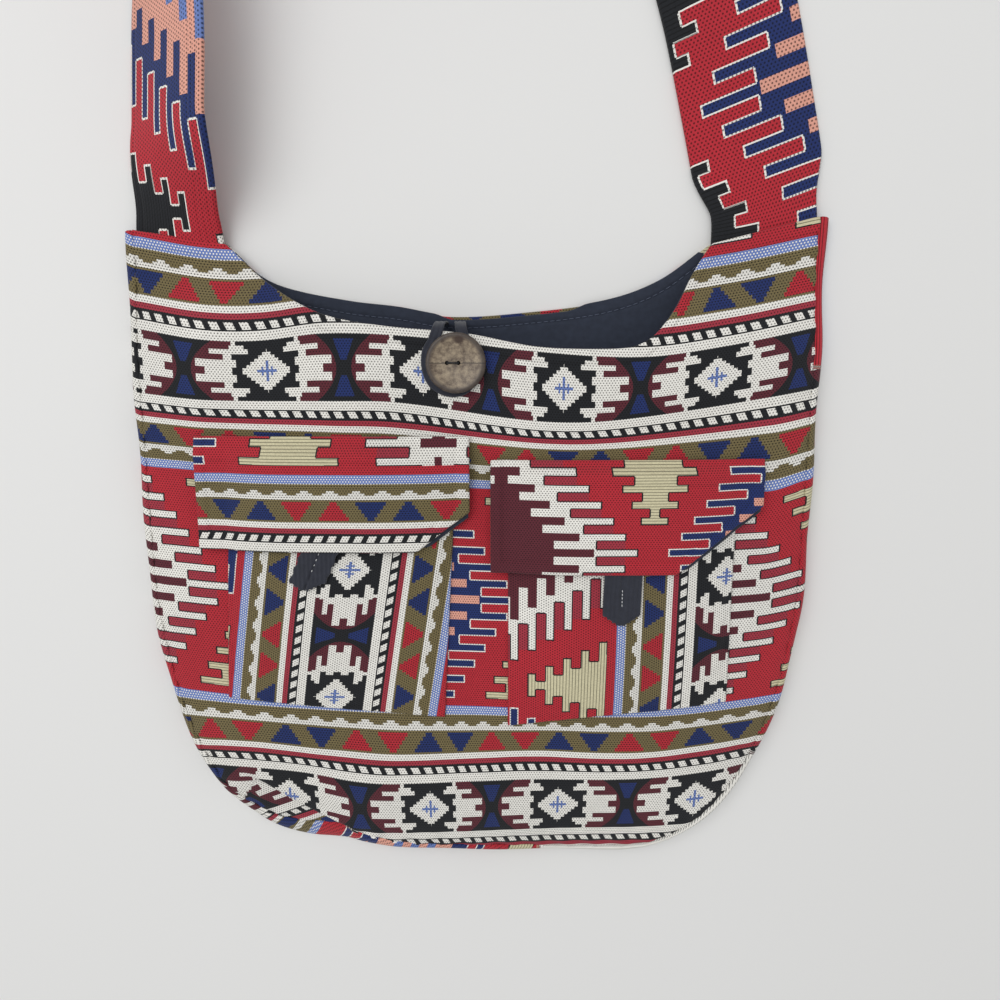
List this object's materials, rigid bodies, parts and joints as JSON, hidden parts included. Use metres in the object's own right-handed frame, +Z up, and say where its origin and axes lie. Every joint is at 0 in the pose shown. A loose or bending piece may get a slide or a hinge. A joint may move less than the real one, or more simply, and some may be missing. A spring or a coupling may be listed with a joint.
{
  "type": "woven shoulder bag",
  "caption": "Soft shoulder bag of kilim-patterned cotton lying on its back, with a wide strap, flap pockets, dark lining and a wooden button with a tape loop.",
  "frame": {"origin": "middle of the footprint of the bag with its strap, on the surface that it lies on", "axes": "+X across the bag, +Y from the bottom seam towards the strap, +Z up through the front"},
  "size_m": [0.3788, 0.7982, 0.068],
  "materials": {
    "kilim_cloth": "patterned jacquard weave, matte",
    "lining_cotton": "plain cotton, matte",
    "dark_tape": "folded cotton tape, matte",
    "coconut_shell": "worn and mottled, satin",
    "sewing_thread": "waxed thread"
  },
  "bodies": {
    "root": {"front_panel": "kilim_cloth", "back_panel": "kilim_cloth", "gusset": "kilim_cloth", "strap": "kilim_cloth", "left_pocket": "kilim_cloth", "right_pocket": "kilim_cloth", "left_flap": "kilim_cloth", "right_flap": "kilim_cloth", "lining_front": "lining_cotton", "lining_back": "lining_cotton", "lining_gusset": "lining_cotton", "left_flap_lining": "lining_cotton", "right_flap_lining": "lining_cotton", "left_flap_loop": "dark_tape", "right_flap_loop": "dark_tape", "closure_loop": "dark_tape", "wood_button": "coconut_shell", "button_thread": "sewing_thread"}
  },
  "joints": []
}
